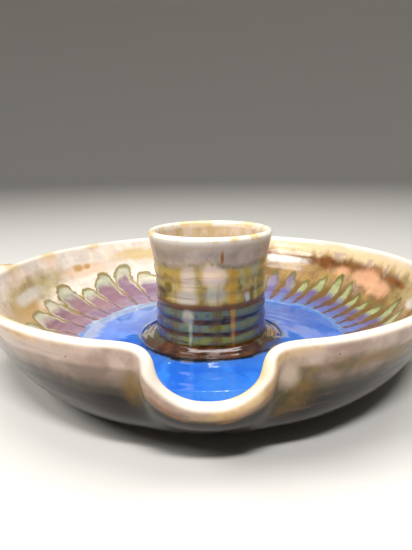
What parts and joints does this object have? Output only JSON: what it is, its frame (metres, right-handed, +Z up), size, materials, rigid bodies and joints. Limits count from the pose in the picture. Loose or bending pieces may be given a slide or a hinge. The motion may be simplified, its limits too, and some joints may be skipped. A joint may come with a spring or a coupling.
{
  "type": "chip and dip server",
  "caption": "Wide stoneware bowl with a pouring notch in its rim, a fixed cup for the dip in the middle and lug handles at the sides.",
  "frame": {"origin": "on the table, under the middle of the foot", "axes": "+Z up, -Y towards the pouring notch, the handles along X"},
  "size_m": [0.3586, 0.2787, 0.0845],
  "materials": {
    "bowl_glaze": "glossy cream glaze broken by ochre, peach and mauve, with runs of green and brown",
    "bare_clay": "unglazed, matt",
    "cup_glaze": "glossy olive and ochre glaze, cream at the rim, teal and brown in the throwing rings",
    "collar_glaze": "glossy dark iron brown",
    "handle_glaze": "glossy cream, brown where the glaze is thin",
    "blue_glass": "thick pooled cobalt glaze, glossy as water",
    "amber_glass": "thick pooled amber glaze, glossy"
  },
  "bodies": {
    "root": {"bowl": "bowl_glaze", "foot_ring": "bare_clay", "dip_cup": "cup_glaze", "cup_collar": "collar_glaze", "left_handle": "handle_glaze", "right_handle": "handle_glaze", "bowl_glaze_pool": "blue_glass", "cup_glaze_pool": "amber_glass"}
  },
  "joints": []
}
